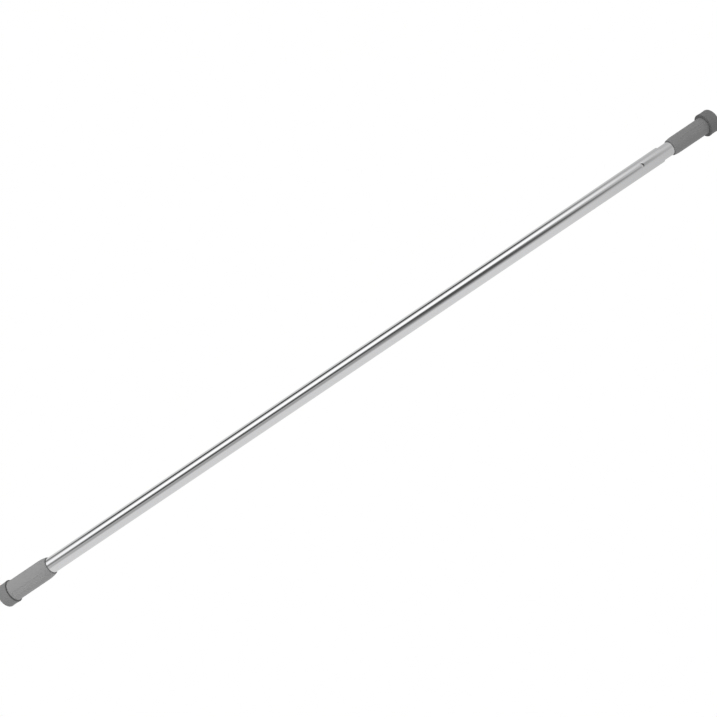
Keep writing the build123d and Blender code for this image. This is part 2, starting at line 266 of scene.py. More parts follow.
def draw_grain(sheet: NodeSheet, given: bpy.types.Node, result: bpy.types.Node) -> None:
    """Fine moulded grain: a height, and flecks where the grain peaks."""
    fine = sheet.add("ShaderNodeTexNoise", Detail=3.0, Roughness=0.6)
    sheet.link(bar_coordinates(sheet, 1.0), fine.inputs["Vector"])
    sheet.link(given.outputs["Scale"], fine.inputs["Scale"])
    sheet.link(fine.outputs["Fac"], result.inputs["Height"])
    peak = sheet.math("SUBTRACT", fine.outputs["Fac"], 0.5)
    sheet.link(sheet.math("MULTIPLY", peak, 3.0, clamp=True), result.inputs["Fleck"])


def draw_blotch(sheet: NodeSheet, given: bpy.types.Node, result: bpy.types.Node) -> None:
    """Broad uneven patches, as handling leaves."""
    broad = sheet.add("ShaderNodeTexNoise", Detail=2.0, Roughness=0.5, Distortion=0.4)
    sheet.link(bar_coordinates(sheet, 2.5), broad.inputs["Vector"])
    sheet.link(given.outputs["Scale"], broad.inputs["Scale"])
    lifted = sheet.math("SUBTRACT", broad.outputs["Fac"], 0.42)
    sheet.link(sheet.math("MULTIPLY", lifted, 4.0, clamp=True), result.inputs["Mask"])


def draw_lines(sheet: NodeSheet, given: bpy.types.Node, result: bpy.types.Node) -> None:
    """Hair-fine lines along the bar, as drawing and polishing leave."""
    streaks = sheet.add("ShaderNodeTexNoise", Detail=4.0, Roughness=0.65)
    sheet.link(bar_coordinates(sheet, 60.0), streaks.inputs["Vector"])
    sheet.link(given.outputs["Scale"], streaks.inputs["Scale"])
    sheet.link(streaks.outputs["Fac"], result.inputs["Height"])
    thin = sheet.math("SUBTRACT", streaks.outputs["Fac"], 0.58)
    sheet.link(sheet.math("MULTIPLY", thin, 6.0, clamp=True), result.inputs["Mask"])


def draw_wear(sheet: NodeSheet, given: bpy.types.Node, result: bpy.types.Node) -> None:
    """Rubbed outer edges, broken up by noise."""
    shape = sheet.add("ShaderNodeNewGeometry")
    edge = sheet.math("SUBTRACT", shape.outputs["Pointiness"], 0.515)
    edge = sheet.math("MULTIPLY", edge, 14.0, clamp=True)
    patch = sheet.add("ShaderNodeTexNoise", Detail=3.0)
    sheet.link(bar_coordinates(sheet, 1.0), patch.inputs["Vector"])
    sheet.link(given.outputs["Scale"], patch.inputs["Scale"])
    broken = sheet.math("MULTIPLY", edge, patch.outputs["Fac"])
    sheet.link(sheet.math("MULTIPLY", broken, given.outputs["Amount"], clamp=True), result.inputs["Mask"])


GRAIN = Effect("moulded_grain", {"Scale": 2500.0}, ("Height", "Fleck"), draw_grain)
BLOTCH = Effect("handling_patches", {"Scale": 30.0}, ("Mask",), draw_blotch)
LINES = Effect("drawn_lines", {"Scale": 900.0}, ("Height", "Mask"), draw_lines)
WEAR = Effect("rubbed_edges", {"Scale": 400.0, "Amount": 1.0}, ("Mask",), draw_wear)


# ---------------------------------------------------------------- finishes


def grey(value: float, warmth: float = 0.0) -> tuple[float, float, float, float]:
    """A grey, or one with a little red and less blue.

    Args:
        value: The linear brightness.
        warmth: The share by which red is raised and blue lowered.

    Returns:
        An RGBA colour.
    """
    return (value * (1.0 + warmth), value, value * (1.0 - warmth), 1.0)


@dataclass(frozen=True)
class Finish:
    """What every finish has: a slot, a colour and a roughness.

    Attributes:
        slot: The record's material slot.
        colour: The main linear colour.
        roughness: The main roughness.
    """

    slot: Slot
    colour: tuple[float, float, float, float]
    roughness: float

    def material(self) -> bpy.types.Material:
        """Returns the material that bears the slot's name, and draws it here only if none is loaded."""
        made = bpy.data.materials.get(self.slot.value)
        if made is not None:
            return made
        made = bpy.data.materials.new(self.slot.value)
        made.use_nodes = True
        sheet = NodeSheet(made.node_tree)
        shader = sheet.add("ShaderNodeBsdfPrincipled")
        end = sheet.add("ShaderNodeOutputMaterial")
        sheet.link(shader.outputs["BSDF"], end.inputs["Surface"])
        self.dress(sheet, shader)
        return made

    def dress(self, sheet: NodeSheet, shader: bpy.types.Node) -> None:
        """Draws the finish's nodes into its shader.

        Args:
            sheet: The material's sheet.
            shader: The Principled BSDF.
        """
        raise NotImplementedError

    def rough_by(
        self, sheet: NodeSheet, shader: bpy.types.Node, mask: bpy.types.NodeSocket, added: float
    ) -> None:
        """Raises the roughness where a mask is lit.

        Args:
            sheet: The material's sheet.
            shader: The Principled BSDF.
            mask: From 0 to 1 over the surface.
            added: Roughness added where the mask is 1.
        """
        extra = sheet.math("MULTIPLY_ADD", mask, added, self.roughness, clamp=True)
        sheet.link(extra, shader.inputs["Roughness"])

    def emboss(
        self,
        sheet: NodeSheet,
        shader: bpy.types.Node,
        height: bpy.types.NodeSocket,
        strength: float,
        depth: float,
    ) -> None:
        """Feeds a height into the shader's normal.

        Args:
            sheet: The material's sheet.
            shader: The Principled BSDF.
            height: The height over the surface.
            strength: The bump's strength.
            depth: The bump's depth in metres.
        """
        bump = sheet.add("ShaderNodeBump", Strength=strength, Distance=depth)
        sheet.link(height, bump.inputs["Height"])
        sheet.link(bump.outputs["Normal"], shader.inputs["Normal"])


@dataclass(frozen=True)
class ChromePlate(Finish):
    """Bright plated steel tube, with hair-fine drawn lines and a little handling haze."""

    haze: float = 0.07
    line_depth: float = 0.6e-6

    def dress(self, sheet: NodeSheet, shader: bpy.types.Node) -> None:
        """Draws the plating."""
        shader.inputs["Metallic"].default_value = 1.0
        patches = BLOTCH.place(sheet, Scale=22.0)
        lines = LINES.place(sheet, Scale=1400.0)
        dulled = tuple(c * 0.93 for c in self.colour[:3]) + (1.0,)
        marks = sheet.math("MULTIPLY", lines.outputs["Mask"], 0.5)
        spread = sheet.math("MULTIPLY_ADD", patches.outputs["Mask"], 0.45, marks, clamp=True)
        sheet.link(sheet.blend(spread, self.colour, dulled), shader.inputs["Base Color"])
        self.rough_by(sheet, shader, spread, self.haze)
        self.emboss(sheet, shader, lines.outputs["Height"], 0.35, self.line_depth)


@dataclass(frozen=True)
class MouldedPlastic(Finish):
    """Satin moulded plastic with a spark-eroded grain, rubbed edges and painted shade on the floors of sunk
    panels.
    """

    grain_scale: float = 2600.0
    grain_depth: float = 18e-6
    worn: float = 0.5

    def dress(self, sheet: NodeSheet, shader: bpy.types.Node) -> None:
        """Draws the moulding."""
        grain = GRAIN.place(sheet, Scale=self.grain_scale)
        patches = BLOTCH.place(sheet, Scale=55.0)
        wear = WEAR.place(sheet, Scale=500.0, Amount=self.worn)
        dark = tuple(c * 0.86 for c in self.colour[:3]) + (1.0,)
        light = tuple(min(c * 1.22 + 0.01, 1.0) for c in self.colour[:3]) + (1.0,)
        flecked = sheet.blend(grain.outputs["Fleck"], self.colour, dark)
        uneven = sheet.math("MULTIPLY", patches.outputs["Mask"], 0.25)
        toned = sheet.blend(uneven, flecked, dark)
        # Painted shade: where the panel attribute is set, the colour is darkened to 0.54 of itself, as shadow in
        # the sunk panel.
        panel = sheet.add("ShaderNodeAttribute", attribute_name=PANEL_PAINTED_SHADE)
        sunk = tuple(c * 0.54 for c in self.colour[:3]) + (1.0,)
        toned = sheet.blend(panel.outputs["Fac"], toned, sunk)
        sheet.link(sheet.blend(wear.outputs["Mask"], toned, light), shader.inputs["Base Color"])
        self.rough_by(sheet, shader, patches.outputs["Mask"], 0.08)
        self.emboss(sheet, shader, grain.outputs["Height"], 0.5, self.grain_depth)


@dataclass(frozen=True)
class MattRubber(Finish):
    """Matt moulded rubber with a faint bloom and dusty flecks."""

    bloom: float = 0.12

    def dress(self, sheet: NodeSheet, shader: bpy.types.Node) -> None:
        """Draws the rubber."""
        shader.inputs["Specular IOR Level"].default_value = 0.35
        grain = GRAIN.place(sheet, Scale=3600.0)
        patches = BLOTCH.place(sheet, Scale=80.0)
        wear = WEAR.place(sheet, Scale=700.0, Amount=0.7)
        pale = tuple(min(c * 1.25 + 0.01, 1.0) for c in self.colour[:3]) + (1.0,)
        bloomed = sheet.math("MULTIPLY", patches.outputs["Mask"], self.bloom)
        bloomed = sheet.math("MULTIPLY_ADD", grain.outputs["Fleck"], 0.18, bloomed, clamp=True)
        toned = sheet.blend(bloomed, self.colour, pale)
        sheet.link(sheet.blend(wear.outputs["Mask"], toned, pale), shader.inputs["Base Color"])
        self.rough_by(sheet, shader, patches.outputs["Mask"], 0.1)
        self.emboss(sheet, shader, grain.outputs["Height"], 0.6, 14e-6)


@dataclass(frozen=True)
class PlatedSteel(Finish):
    """Plain turned and zinc plated or oiled steel hardware."""

    def dress(self, sheet: NodeSheet, shader: bpy.types.Node) -> None:
        """Draws the steel."""
        shader.inputs["Metallic"].default_value = 1.0
        grain = GRAIN.place(sheet, Scale=1800.0)
        patches = BLOTCH.place(sheet, Scale=120.0)
        dark = tuple(c * 0.7 for c in self.colour[:3]) + (1.0,)
        stained = sheet.blend(patches.outputs["Mask"], self.colour, dark)
        sheet.link(stained, shader.inputs["Base Color"])
        self.rough_by(sheet, shader, grain.outputs["Fleck"], 0.12)
        self.emboss(sheet, shader, grain.outputs["Height"], 0.3, 6e-6)


FINISHES: dict[Slot, Finish] = {
    finish.slot: finish
    for finish in (
        ChromePlate(Slot.CHROME, grey(0.66), 0.09),
        MouldedPlastic(Slot.SLEEVE, grey(0.29), 0.46),
        MattRubber(Slot.FOOT, grey(0.235), 0.62),
        MouldedPlastic(Slot.NATURAL_NYLON, grey(0.66, 0.03), 0.42, grain_depth=6e-6, worn=0.2),
        MouldedPlastic(Slot.BLACK_NYLON, grey(0.025), 0.4, grain_depth=8e-6),
        MattRubber(Slot.BLACK_RUBBER, grey(0.02), 0.7),
        PlatedSteel(Slot.ZINC_STEEL, grey(0.62, 0.01), 0.28),
        PlatedSteel(Slot.SPRING_STEEL, grey(0.36), 0.32),
    )
}


# ---------------------------------------------------------------- turned shapes


@dataclass(frozen=True)
class Corner:
    """One corner of a turned outline.

    Attributes:
        x: Place along the bar.
        r: Distance from the bar's axis.
        rounding: Radius that the corner is rounded to, or 0 for a point on a smooth stretch.
    """

    x: float
    r: float
    rounding: float = 0.0


@dataclass(frozen=True)
class Outline:
    """A closed outline in the half-plane beside the axis, which a lathe turns into a solid.

    Attributes:
        corners: The corners in order.
        arc_steps: Pieces that each rounded corner is made of.
        guard: Gap from a rounded corner to the loop that keeps its neighbour's shading true.
    """

    corners: tuple[Corner, ...]
    arc_steps: int = 6
    guard: float = 0.05 * MM

    def points(self) -> list[Vector]:
        """Works out the outline.

        Returns:
            Points (x, 0, r) in order.
        """
        found: list[Vector] = []
        count = len(self.corners)
        for index, corner in enumerate(self.corners):
            here = Vector((corner.x, 0.0, corner.r))
            if corner.rounding <= 0.0:
                found.append(here)
                continue
            before, after = self.corners[index - 1], self.corners[(index + 1) % count]
            back = (Vector((before.x, 0.0, before.r)) - here).normalized()
            ahead = (Vector((after.x, 0.0, after.r)) - here).normalized()
            found.extend(self.rounded(here, back, ahead, corner.rounding))
        return found

    def rounded(self, here: Vector, back: Vector, ahead: Vector, radius: float) -> Iterable[Vector]:
        """Rounds one corner.

        Args:
            here: The sharp corner.
            back: Direction towards the corner before.
            ahead: Direction towards the corner after.
            radius: The rounding's radius.

        Yields:
            The guard point, the arc's points and the second guard point.
        """
        half = back.angle(ahead) / 2.0
        reach = radius / math.tan(half)
        centre = here + (back + ahead).normalized() * (radius / math.sin(half))
        first, last = here + back * reach - centre, here + ahead * reach - centre
        yield here + back * (reach + self.guard)
        for step in range(self.arc_steps + 1):
            yield centre + first.slerp(last, step / self.arc_steps) * radius
        yield here + ahead * (reach + self.guard)


def run(start: float, end: float, radius: float, step: float) -> tuple[Corner, ...]:
    """Evenly spaced points on a straight stretch, both ends left out.

    Args:
        start: Where the stretch begins along the bar.
        end: Where it ends.
        radius: Its distance from the axis.
        step: The longest gap between points.

    Returns:
        The points as corners with no rounding.
    """
    count = max(1, math.ceil(abs(end - start) / step))
    return tuple(Corner(start + (end - start) * n / count, radius) for n in range(1, count))


def fresh_object(name: str, bm: bmesh.types.BMesh) -> bpy.types.Object:
    """Turns a finished bmesh into a smooth-shaded object at the origin.

    Args:
        name: The object's name.
        bm: The bmesh, which is freed.

    Returns:
        The new object.
    """
    mesh = bpy.data.meshes.new(name)
    bm.to_mesh(mesh)
    bm.free()
    mesh.polygons.foreach_set("use_smooth", [True] * len(mesh.polygons))
    made = bpy.data.objects.new(name, mesh)
    bpy.context.scene.collection.objects.link(made)
    return made


def lathe(outline: Outline, segments: int) -> bmesh.types.BMesh:
    """Turns an outline about the bar's axis, as an eighth that is then repeated.

    Args:
        outline: The closed outline.
        segments: Steps in a full turn, a multiple of eight.

    Returns:
        A closed bmesh with its faces pointing outwards.
    """
    bm = bmesh.new()
    verts = [bm.verts.new(point) for point in outline.points()]
    pairs = [(verts[n - 1], verts[n]) for n in range(len(verts))]
    edges = [bm.edges.new(pair) for pair in pairs if pair[0].co.z + pair[1].co.z > MERGE]
    bmesh.ops.spin(
        bm,
        geom=verts + edges,
        cent=(0.0, 0.0, 0.0),
        axis=AXIS,
        dvec=(0.0, 0.0, 0.0),
        angle=math.tau / 8.0,
        steps=segments // 8,
        use_merge=False,
    )
    for eighths in (1, 2, 4):
        copied = bmesh.ops.duplicate(bm, geom=bm.verts[:] + bm.edges[:] + bm.faces[:])["geom"]
        bmesh.ops.rotate(
            bm,
            verts=[item for item in copied if isinstance(item, bmesh.types.BMVert)],
            cent=(0.0, 0.0, 0.0),
            matrix=Matrix.Rotation(math.tau * eighths / 8.0, 3, AXIS),
        )
    bmesh.ops.remove_doubles(bm, verts=bm.verts, dist=MERGE)
    bmesh.ops.recalc_face_normals(bm, faces=bm.faces)
    return bm


def turn_of(point: Vector) -> float:
    """Angle of a point about the bar's axis, from +Z towards +Y, in radians."""
    return math.atan2(point.y, point.z)


def sink(vert: bmesh.types.BMVert, depth: float) -> None:
    """Moves a vertex towards the bar's axis."""
    radius = math.hypot(vert.co.y, vert.co.z)
    scale = (radius - depth) / radius
    vert.co.y *= scale
    vert.co.z *= scale


@dataclass(frozen=True)
class Crimp:
    """A short oval crimp pressed into a tube's wall, longer round the tube than along it.

    Attributes:
        x: Place along the bar.
        turn: Degrees from +Z towards +Y.
        depth: How deep the middle goes.
        half_length: Half its length along the bar.
        half_width: Half its width round the tube.
    """

    x: float
    turn: float
    depth: float
    half_length: float
    half_width: float

    def press(self, bm: bmesh.types.BMesh) -> None:
        """Draws the wall in, inside and out alike."""
        middle = math.radians(self.turn)
        for vert in bm.verts:
            along = (vert.co.x - self.x) / self.half_length
            if abs(along) > 1.0:
                continue
            gap = (turn_of(vert.co) - middle + math.pi) % math.tau - math.pi
            across = gap * math.hypot(vert.co.y, vert.co.z) / self.half_width
            away = math.hypot(along, across)
            if away < 1.0:
                sink(vert, self.depth * (1.0 - smooth(away)))


@dataclass(frozen=True)
class Panel:
    """A shallow round-cornered panel sunk in a sleeve.

    Attributes:
        start: Where it begins along the bar.
        end: Where it ends.
        width: Its width round the sleeve.
        turn: Degrees of its middle from +Z towards +Y.
        depth: How deep its floor lies.
        corner: Radius of its corners.
        wall: Width over which its edge slopes down.
        shade: From 0 to 1, how much painted shade the moulded finish puts on its floor.
    """

    start: float
    end: float
    width: float
    turn: float
    depth: float = 0.5 * MM
    corner: float = 2.0 * MM
    wall: float = 0.45 * MM
    shade: float = 1.0

    def press(self, bm: bmesh.types.BMesh, least_radius: float) -> None:
        """Sinks the panel into the outer skin.

        Args:
            bm: The sleeve.
            least_radius: Only what lies further from the axis is moved.
        """
        share = bm.verts.layers.float.new(PANEL_PAINTED_SHADE)
        middle, centre = math.radians(self.turn), (self.start + self.end) / 2.0
        half_length, half_width = (self.end - self.start) / 2.0, self.width / 2.0
        for vert in bm.verts:
            radius = math.hypot(vert.co.y, vert.co.z)
            if radius < least_radius or not self.start <= vert.co.x <= self.end:
                continue
            gap = (turn_of(vert.co) - middle + math.pi) % math.tau - math.pi
            dx = abs(vert.co.x - centre) - half_length + self.corner
            dy = abs(gap) * radius - half_width + self.corner
            outside = math.hypot(max(dx, 0.0), max(dy, 0.0)) + min(max(dx, dy), 0.0) - self.corner
            if outside < 0.0:
                sunk = smooth(-outside / self.wall)
                # Painted shade: the floor's share is stored for the moulded finish to darken.
                vert[share] = self.shade * sunk
                sink(vert, self.depth * sunk)


# ---------------------------------------------------------------- sub-assemblies


@dataclass
class Piece:
    """A piece made here, which stands for one node of the frame.

    Attributes:
        node: The frame's node.
        body: The body it rides on.
        slot: The material slot it takes its finish from.
    """

    node: str
    body: Body
    slot: Slot

    def build(self) -> bpy.types.Object:
        """Builds the mesh and returns its object."""
        raise NotImplementedError

    def make(self) -> bpy.types.Object:
        """Builds the piece, dresses it and hands it to the frame.

        Returns:
            The finished object.
        """
        made = self.build()
        made.data.materials.append(FINISHES[self.slot].material())
        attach(made, self.body.value)
        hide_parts(self.node)
        LOG.info("%s: %d faces for %s", made.name, len(made.data.polygons), self.node)
        return made

    def reach(self) -> tuple[float, float, float]:
        """The node's extent.

        Returns:
            Its lowest x, its highest x and its largest radius.
        """
        low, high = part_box(self.node)
        return low.x, high.x, max(high.y, high.z)


@dataclass
class Tube(Piece):
    """A drawn, plated tube, crimped or plain.

    Attributes:
        wall: Its wall.
        edge: Radius that its edges are broken to.
        segments: Steps in a full turn.
        crimps: The crimps pressed in it, all at one place along it.
        crimp_step: Gap between the rings that carry the crimps.
    """

    wall: float = 0.7 * MM
    edge: float = 0.2 * MM
    segments: int = 256
    crimps: tuple[Crimp, ...] = ()
    crimp_step: float = 0.22 * MM

    def build(self) -> bpy.types.Object:
        """Builds the tube."""
        start, end, radius = self.reach()
        bore = radius - self.wall
        inside, outside = self.close_rings(bore), self.close_rings(radius)
        corners = (
            Corner(start, bore, self.edge),
            Corner(start, radius, self.edge),
            *outside,
            Corner(end, radius, self.edge),
            Corner(end, bore, self.edge),
            *reversed(inside),
        )
        bm = lathe(Outline(corners), self.segments)
        for crimp in self.crimps:
            crimp.press(bm)
        return fresh_object(f"{self.node}_plated", bm)

    def close_rings(self, radius: float) -> tuple[Corner, ...]:
        """Extra rings where the crimps are pressed, at one radius."""
        if not self.crimps:
            return ()
        middle, reach = self.crimps[0].x, self.crimps[0].half_length * 1.1
        return run(middle - reach, middle + reach, radius, self.crimp_step)


@dataclass
class Moulding(Piece):
    """A moulding on one end of the bar, drawn as if its outer face looked along -X at x = 0.

    Attributes:
        end: Which end it sits on.
        segments: Steps in a full turn.
    """

    end: End = End.FIXED
    segments: int = 360

    def place(self, corners: Sequence[Corner]) -> tuple[Corner, ...]:
        """Puts a moulding's outline at its own end of the bar.

        Args:
            corners: The outline, with x measured inwards from the bar's end.

        Returns:
            The outline in the frame's own x.
        """
        if self.end is End.FIXED:
            return tuple(corners)
        far = CAD_BOX[1].x
        return tuple(Corner(far - c.x, c.r, c.rounding) for c in corners)

    def inward(self, x: float) -> float:
        """A distance inwards from the bar's end, as the frame's x, or the other way round."""
        return x if self.end is End.FIXED else CAD_BOX[1].x - x


@dataclass
class Sleeve(Moulding):
    """The grey sleeve over a tube's end, with its bead, neck, sunk panel and tapered rim.

    Attributes:
        tube: The node of the tube inside it.
        taper: Length over which the rim draws in.
        panel_length: Length of the sunk panel.
        panel_width: Its width.
        panel_turn: Its place round the sleeve, in degrees from +Z towards +Y.
        panel_painted_shade: From 0 to 1, how much painted shade the moulded finish puts on the panel's floor.
        floor: Thickness of its closed end.
        rim_wall: Wall at the rim.
        fit: Gap on the radius between the sleeve and its tube.
        neck_wall: Wall of the neck that the foot's lip grips.
        bead: Height of the bead over the neck.
        bead_end: Where the bead ends.
        bead_edge: Length of the bead's sloped edges.
        shoulder: Where the neck steps out to the grip.
        panel_start: Where the panel starts.
    """

    tube: str = ""
    taper: float = 12.0 * MM
    panel_length: float = 49.5 * MM
    panel_width: float = 6.0 * MM
    panel_turn: float = 0.0
    panel_painted_shade: float = 1.0
    floor: float = 3.0 * MM
    rim_wall: float = 1.45 * MM
    fit: float = 0.05 * MM
    neck_wall: float = 1.95 * MM
    bead: float = 1.0 * MM
    bead_end: float = 9.3 * MM
    bead_edge: float = 0.8 * MM
    shoulder: float = 13.8 * MM
    panel_start: float = 16.4 * MM

    def build(self) -> bpy.types.Object:
        """Builds the sleeve."""
        low, high, _ = self.reach()
        start, rim = sorted((self.inward(low), self.inward(high)))
        tube_low, tube_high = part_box(self.tube)
        bore = (tube_high.z - tube_low.z) / 2.0 + self.fit
        skin, neck = self.skin_radius(), bore + self.neck_wall
        bead = neck + self.bead
        panel_end = self.panel_start + self.panel_length
        rim_radius = bore + self.rim_wall
        corners = (
            Corner(start, 0.0),
            Corner(start, bead - self.bead_edge, 0.3 * MM),
            Corner(start + self.bead_edge, bead, 0.3 * MM),
            Corner(self.bead_end - self.bead_edge, bead, 0.3 * MM),
            Corner(self.bead_end, neck, 0.2 * MM),
            Corner(self.shoulder, neck, 0.2 * MM),
            Corner(self.shoulder, skin, 0.5 * MM),
            *self.side(skin, rim_radius, rim, panel_end),
            Corner(rim, rim_radius, 0.6 * MM),
            Corner(rim, bore, 0.2 * MM),
            Corner(start + self.floor, bore, 0.3 * MM),
            Corner(start + self.floor, 0.0),
        )
        bm = lathe(Outline(self.place(corners)), self.segments)
        edges = sorted((self.inward(self.panel_start), self.inward(panel_end)))
        panel = Panel(edges[0], edges[1], self.panel_width, self.panel_turn, shade=self.panel_painted_shade)
        panel.press(bm, skin - 0.1 * MM)
        return fresh_object(f"{self.node}_moulded", bm)

    def skin_radius(self) -> float:
        """Radius of the sleeve's straight stretch, read from the frame's own mesh."""
        middle = self.inward(self.shoulder + 1.5 * MM)
        verts = frame["nodes"][self.node].data.vertices
        near = [v.co for v in verts if abs(v.co.x - middle) < 3.0 * MM]
        return max(math.hypot(co.y, co.z) for co in near)

    def side(self, skin: float, rim_radius: float, rim: float, panel_end: float) -> Iterable[Corner]:
        """The sleeve's side, with close rings at the panel's ends and a convex draw-in at the rim.

        Args:
            skin: Radius of the straight stretch.
            rim_radius: Radius at the rim.
            rim: Where the rim is, inwards from the bar's end.
            panel_end: Where the panel ends.

        Yields:
            Points from the shoulder to the rim.
        """
        x = self.panel_start - 0.2 * MM
        while x < rim - 0.8 * MM:
            into = max(0.0, x - rim + self.taper) / self.taper
            yield Corner(x, skin - (skin - rim_radius) * into * into)
            close = min(abs(x - self.panel_start), abs(x - panel_end)) < 2.8 * MM
            x += 0.2 * MM if close else 1.0 * MM


@dataclass
class Foot(Moulding):
    """The rubber foot: waisted outside, grooved on its face, with a lip behind the sleeve's bead.

    Attributes:
        tube: The node of the tube at this end.
        depth: Length along the bar.
        floor: Thickness of its face.
        waist: How far the waist draws in from the rim.
        edge_inset: How much smaller the face's edge is than the rim.
        edge_round: Radius of the face's edge.
        lip: Length of the lip behind the sleeve's bead.
        neck_wall: Gap on the radius from the tube to the lip.
        bead: How much wider the pocket for the sleeve's bead is.
        bead_edge: Length of the pocket's slope.
        grooves: Grip grooves in the face.
        groove_start: Inner radius of the first groove.
        groove_width: Their width.
        groove_depth: Their depth.
        groove_pitch: Gap from one to the next.
        waist_steps: Steps in the waist's curve.
    """

    tube: str = ""
    depth: float = 13.5 * MM
    floor: float = 3.0 * MM
    waist: float = 0.5 * MM
    edge_inset: float = 0.1 * MM
    edge_round: float = 1.8 * MM
    lip: float = 4.1 * MM
    neck_wall: float = 2.1 * MM
    bead: float = 1.0 * MM
    bead_edge: float = 0.8 * MM
    grooves: int = 3
    groove_start: float = 5.0 * MM
    groove_width: float = 1.2 * MM
    groove_depth: float = 0.8 * MM
    groove_pitch: float = 3.0 * MM
    waist_steps: int = 16

    def build(self) -> bpy.types.Object:
        """Builds the foot."""
        tube_low, tube_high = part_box(self.tube)
        lip_bore = (tube_high.z - tube_low.z) / 2.0 + self.neck_wall
        bead_bore = lip_bore + self.bead
        lip_start = self.depth - self.lip
        rim_radius = self.rim_radius()
        corners = (
            Corner(0.0, 0.0),
            *self.face(),
            Corner(0.0, rim_radius - self.edge_inset, self.edge_round),
            *self.side(rim_radius),
            Corner(self.depth, rim_radius, 0.4 * MM),
            Corner(self.depth, lip_bore, 0.3 * MM),
            Corner(lip_start, lip_bore, 0.2 * MM),
            Corner(lip_start - self.bead_edge, bead_bore, 0.2 * MM),
            Corner(self.floor, bead_bore, 0.4 * MM),
            Corner(self.floor, 0.0),
        )
        bm = lathe(Outline(self.place(corners)), self.segments)
        return fresh_object(f"{self.node}_moulded", bm)

    def rim_radius(self) -> float:
        """Radius of the rim before its edge is rounded."""
        rim = self.inward(self.depth)
        verts = frame["nodes"][self.node].data.vertices
        near = [v.co for v in verts if abs(v.co.x - rim) < 1.0 * MM]
        return max(math.hypot(co.y, co.z) for co in near) + 0.05 * MM

    def face(self) -> Iterable[Corner]:
        """Corners of the grip grooves, from the middle outwards."""
        for number in range(self.grooves):
            inner = self.groove_start + number * self.groove_pitch
            outer = inner + self.groove_width
            yield Corner(0.0, inner, 0.25 * MM)
            yield Corner(self.groove_depth, inner, 0.25 * MM)
            yield Corner(self.groove_depth, outer, 0.25 * MM)
            yield Corner(0.0, outer, 0.25 * MM)

    def side(self, rim_radius: float) -> Iterable[Corner]:
        """The waisted side, from near the outer face to near the rim.

        Args:
            rim_radius: Radius at the rim.

        Yields:
            Points on the waist's curve.
        """
        for number in range(3, self.waist_steps - 1):
            share = number / self.waist_steps
            ends = (1.0 - share) * (rim_radius - self.edge_inset) + share * rim_radius
            dip = 4.0 * share * (1.0 - share) * (self.waist - self.edge_inset / 2.0)
            yield Corner(self.depth * share, ends - dip)


@dataclass
class CoilSpring(Piece):
    """The coil spring on the stud's square, with closed ends.

    Attributes:
        wire: Diameter of the wire.
        active_turns: Open turns between the two closed ones.
        steps_per_turn: Steps in each turn of the coil.
        wire_segments: Sides of the wire's section.
        closed_pitch: Pitch of the closed turns, as a multiple of the wire.
        joint: The joint whose range it reads.
    """

    wire: float = 1.8 * MM
    active_turns: float = 7.0
    steps_per_turn: int = 36
    wire_segments: int = 20
    closed_pitch: float = 1.02
    joint: str = "plunge"

    def build(self) -> bpy.types.Object:
        """Builds the spring."""
        start, end, outside = self.reach()
        wire_radius = self.wire / 2.0
        radius = outside - wire_radius
        closed_pitch = self.wire * self.closed_pitch
        span = end - start - self.wire
        active_pitch = (span - 2.0 * closed_pitch) / self.active_turns
        bm = bmesh.new()
        made = bmesh.ops.create_circle(
            bm, cap_ends=True, segments=self.wire_segments, radius=wire_radius
        )
        centre = (start + wire_radius, 0.0, radius)
        bmesh.ops.translate(bm, verts=made["verts"], vec=centre)
        bmesh.ops.rotate(bm, verts=made["verts"], cent=centre, matrix=self.tilt())
        last = list(bm.verts) + list(bm.edges) + list(bm.faces)
        for turns, pitch in ((1.0, closed_pitch), (self.active_turns, active_pitch), (1.0, closed_pitch)):
            last = self.wind(bm, last, turns, pitch)
        bmesh.ops.recalc_face_normals(bm, faces=bm.faces)
        return fresh_object("compression_spring_coil", bm)

    def tilt(self) -> Matrix:
        """Turn that stands the wire's section across its own path, which starts along Y."""
        return Vector((0.0, 0.0, 1.0)).rotation_difference(Vector((0.0, 1.0, 0.0))).to_matrix()

    def wind(self, bm: bmesh.types.BMesh, section: list, turns: float, pitch: float) -> list:
        """Winds the wire on.

        Args:
            bm: The spring so far.
            section: The wire's last section.
            turns: Turns to add.
            pitch: Advance of each turn.

        Returns:
            The new last section.
        """
        steps = round(turns * self.steps_per_turn)
        wound = bmesh.ops.spin(
            bm,
            geom=section,
            cent=(0.0, 0.0, 0.0),
            axis=AXIS,
            dvec=(pitch / self.steps_per_turn, 0.0, 0.0),
            angle=math.tau * turns,
            steps=steps,
            use_merge=False,
        )
        return wound["geom_last"]

    def make(self) -> bpy.types.Object:
        """Builds and dresses the spring, and gives it a mesh of its own."""
        made = super().make()
        low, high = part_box(self.node)
        joint = next(j for j in frame["joints"] if j["name"] == self.joint)
        stroke = max(abs(limit) for limit in joint["range_m"])
        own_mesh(made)
        return made


@dataclass
class CarriedNodes:
    """The frame's own nodes that stay in view or inside, each given its finish.

    Attributes:
        replaced: Nodes that pieces made here stand for.
    """

    replaced: set[str] = field(default_factory=set)

    def make(self) -> None:
        """Dresses every node that nothing stands for."""
        slots = {part["node"]: part["material_slot"] for part in frame["record"]["subparts"]}
        for name, node in sorted(frame["nodes"].items()):
            if name in self.replaced:
                continue
            node.data.materials.clear()
            node.data.materials.append(FINISHES[Slot(slots[name])].material())
            LOG.info("%s: the frame's own node, finished as %s", name, slots[name])


# ---------------------------------------------------------------- studio


